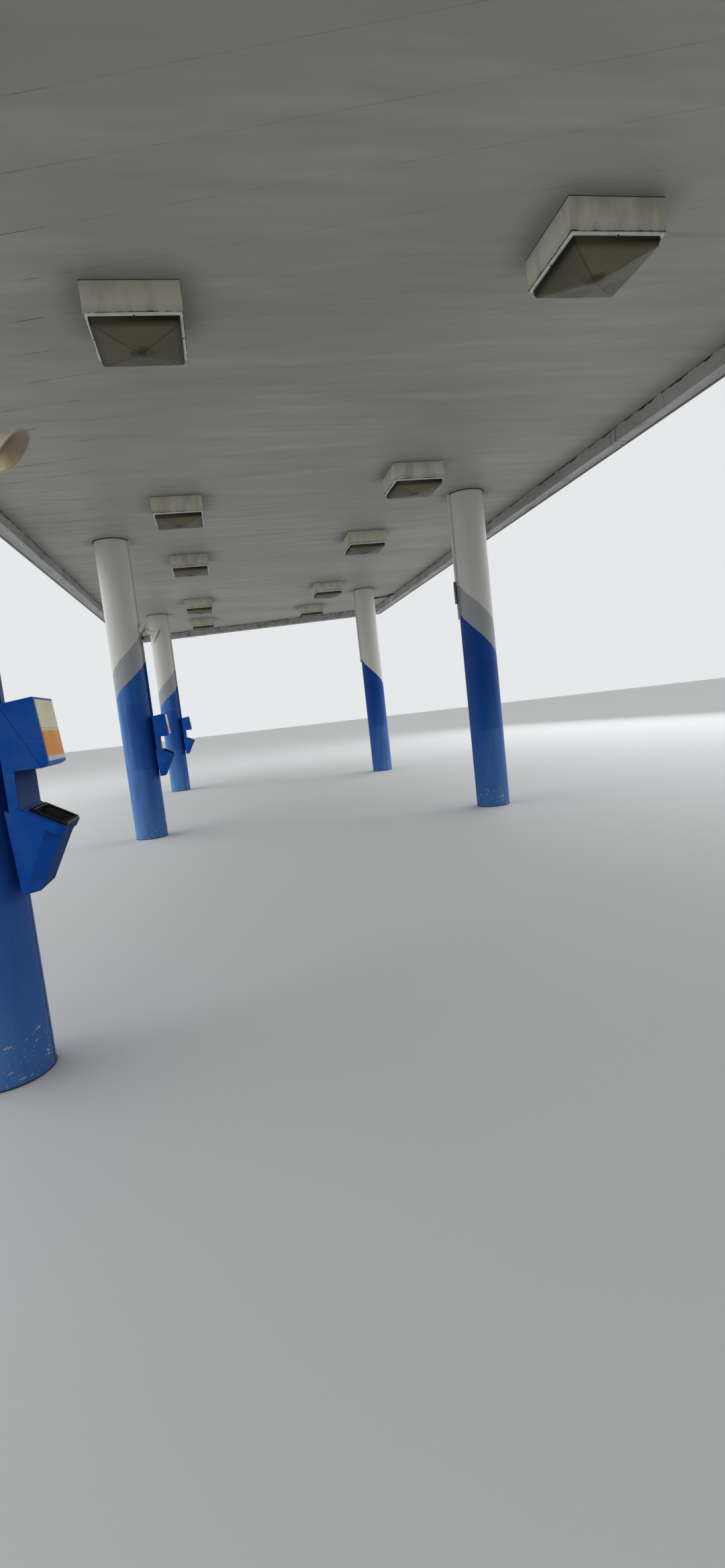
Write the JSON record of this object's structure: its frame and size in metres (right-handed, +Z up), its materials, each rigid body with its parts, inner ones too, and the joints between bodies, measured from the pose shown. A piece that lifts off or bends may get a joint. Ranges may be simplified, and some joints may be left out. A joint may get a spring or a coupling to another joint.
{
  "type": "filling station canopy",
  "caption": "Flat filling station canopy on two rows of round columns, with a panelled soffit, deep fascia, box lights and column-side service units.",
  "frame": {"origin": "on the ground, at the middle of the plan between the two rows of columns", "axes": "+X across the canopy from the row with the service units to the other row, +Y along the canopy, +Z up"},
  "size_m": [7.37, 25.2018, 5.174],
  "materials": {
    "column_paint": "semi-gloss paint, in white, grey and blue bands",
    "steel": "dull primed steel",
    "soffit_paint": "satin off-white coil coating, streaked with dirt",
    "edge_paint": "satin off-white coating, dirty",
    "fascia_paint": "semi-gloss blue with a white stripe",
    "light_paint": "beige-grey powder coat",
    "door_paint": "off-white powder coat",
    "lens": "dull, yellowed acrylic",
    "unit_plastic": "moulded blue polyethylene",
    "tub_plastic": "black bucket plastic",
    "poster_card": "bare two-tone insert under a clear sheet",
    "horn_paint": "cream enamel",
    "box_paint": "dull black paint"
  },
  "bodies": {
    "root": {"column_left_1": "column_paint", "column_left_2": "column_paint", "column_left_3": "column_paint", "column_right_1": "column_paint", "column_right_2": "column_paint", "column_right_3": "column_paint", "beam_1": "steel", "beam_2": "steel", "beam_3": "steel", "purlin_1": "steel", "purlin_2": "steel", "purlin_3": "steel", "purlin_4": "steel", "purlin_5": "steel", "deck_1": "soffit_paint", "deck_2": "soffit_paint", "deck_3": "soffit_paint", "edge_inner_faces": "edge_paint", "edge_bottoms": "edge_paint", "edge_outer_lips": "edge_paint", "fascia_left": "fascia_paint", "fascia_right": "fascia_paint", "fascia_near": "fascia_paint", "fascia_far": "fascia_paint", "fascia_brackets": "steel", "lights_left_1": "light_paint", "lights_left_2": "light_paint", "lights_left_3": "light_paint", "lights_right_1": "light_paint", "lights_right_2": "light_paint", "lights_right_3": "light_paint", "light_doors_left": "door_paint", "light_doors_right": "door_paint", "lenses_left": "lens", "lenses_right": "lens", "service_unit_1": "unit_plastic", "service_unit_2": "unit_plastic", "service_unit_3": "unit_plastic", "unit_tubs": "tub_plastic", "unit_posters": "poster_card", "horn_1": "horn_paint", "horn_2": "horn_paint", "junction_box": "box_paint"}
  },
  "joints": []
}
